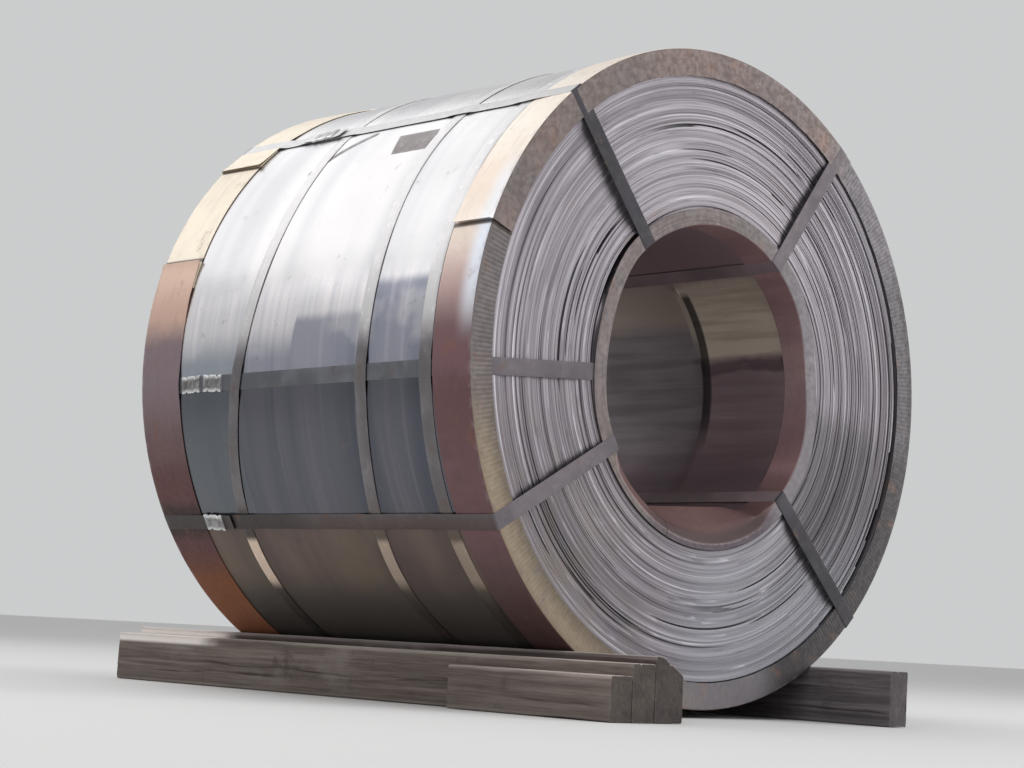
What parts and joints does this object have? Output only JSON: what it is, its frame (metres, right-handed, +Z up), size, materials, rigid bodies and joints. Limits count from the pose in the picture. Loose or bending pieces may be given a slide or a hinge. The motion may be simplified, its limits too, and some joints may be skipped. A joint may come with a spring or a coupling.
{
  "type": "steel coil",
  "caption": "Coil of bright steel strip with edge guards and steel straps, lying on its side between chock timbers.",
  "frame": {"origin": "on the axis of the bore, halfway along the strip's width", "axes": "+Y along the coil's axis, away from the face seen in the picture; +Z up; the low front plank and its block are on the -X side"},
  "size_m": [1.2865, 1.595, 1.3019],
  "materials": {
    "strip": "bright cold-rolled",
    "guard": "red-brown, dusty, rusting",
    "strapping": "dark waxed steel strapping",
    "seal": "bright galvanised",
    "timber": "weathered rough sawn"
  },
  "bodies": {
    "root": {"coil": "strip", "inner_guard_near": "guard", "inner_guard_far": "guard", "outer_guard_near_upper": "guard", "outer_guard_near_side": "guard", "outer_guard_near_lower": "guard", "outer_guard_far_upper": "guard", "outer_guard_far_short": "guard", "outer_guard_far_side": "guard", "outer_guard_far_lower": "guard", "eye_strap_left": "strapping", "eye_strap_lower_left": "strapping", "eye_strap_lower_right": "strapping", "eye_strap_upper_left": "strapping", "eye_strap_upper_right": "strapping", "eye_seal_left_1": "seal", "eye_seal_left_2": "seal", "eye_seal_lower_left": "seal", "eye_seal_lower_right": "seal", "eye_seal_upper_left": "seal", "eye_seal_upper_right": "seal", "belly_band_near": "strapping", "belly_band_middle": "strapping", "belly_band_far": "strapping", "belly_seal_near": "seal", "belly_seal_middle": "seal", "belly_seal_far": "seal", "cradle_timber": "timber", "front_plank": "timber", "front_block": "timber", "rear_chock": "timber"}
  },
  "joints": []
}
